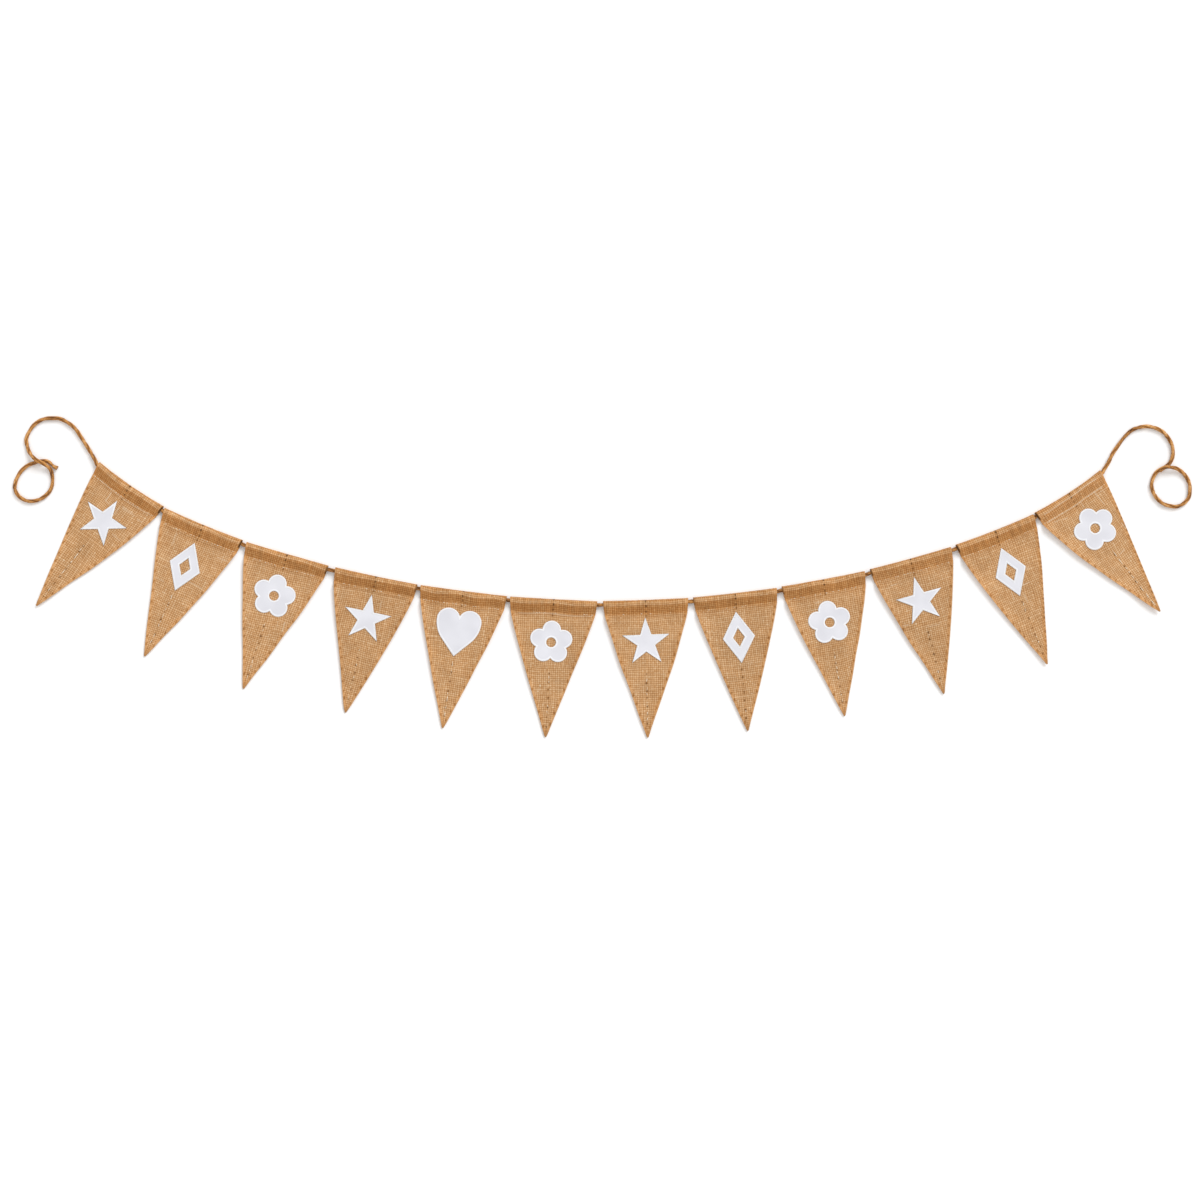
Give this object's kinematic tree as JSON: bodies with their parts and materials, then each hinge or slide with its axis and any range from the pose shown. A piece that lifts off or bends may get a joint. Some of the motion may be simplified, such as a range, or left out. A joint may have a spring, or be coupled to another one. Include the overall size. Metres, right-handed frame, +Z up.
{
  "type": "fabric bunting",
  "caption": "String of burlap pennants with folded sleeves on a twisted jute cord, white applique motif on each, cord looped at both ends, laid flat in a shallow arc.",
  "frame": {"origin": "middle of the pennants' extent, on the surface that they lie on", "axes": "+X along the string to the right, +Y towards the ends of the arc, away from the tips, +Z up out of the front of the cloth"},
  "size_m": [1.708, 0.4656, 0.0119],
  "materials": {
    "burlap": "coarse plain weave, matt",
    "white_satin": "satin applique, soft sheen",
    "jute": "two-ply twisted jute, matt"
  },
  "bodies": {
    "root": {"pennant_01": "burlap", "pennant_02": "burlap", "pennant_03": "burlap", "pennant_04": "burlap", "pennant_05": "burlap", "pennant_06": "burlap", "pennant_07": "burlap", "pennant_08": "burlap", "pennant_09": "burlap", "pennant_10": "burlap", "pennant_11": "burlap", "pennant_12": "burlap", "motif_01": "white_satin", "motif_02": "white_satin", "motif_03": "white_satin", "motif_04": "white_satin", "motif_05": "white_satin", "motif_06": "white_satin", "motif_07": "white_satin", "motif_08": "white_satin", "motif_09": "white_satin", "motif_10": "white_satin", "motif_11": "white_satin", "motif_12": "white_satin", "cord_run": "jute", "cord_end_left": "jute", "cord_end_right": "jute"}
  },
  "joints": []
}
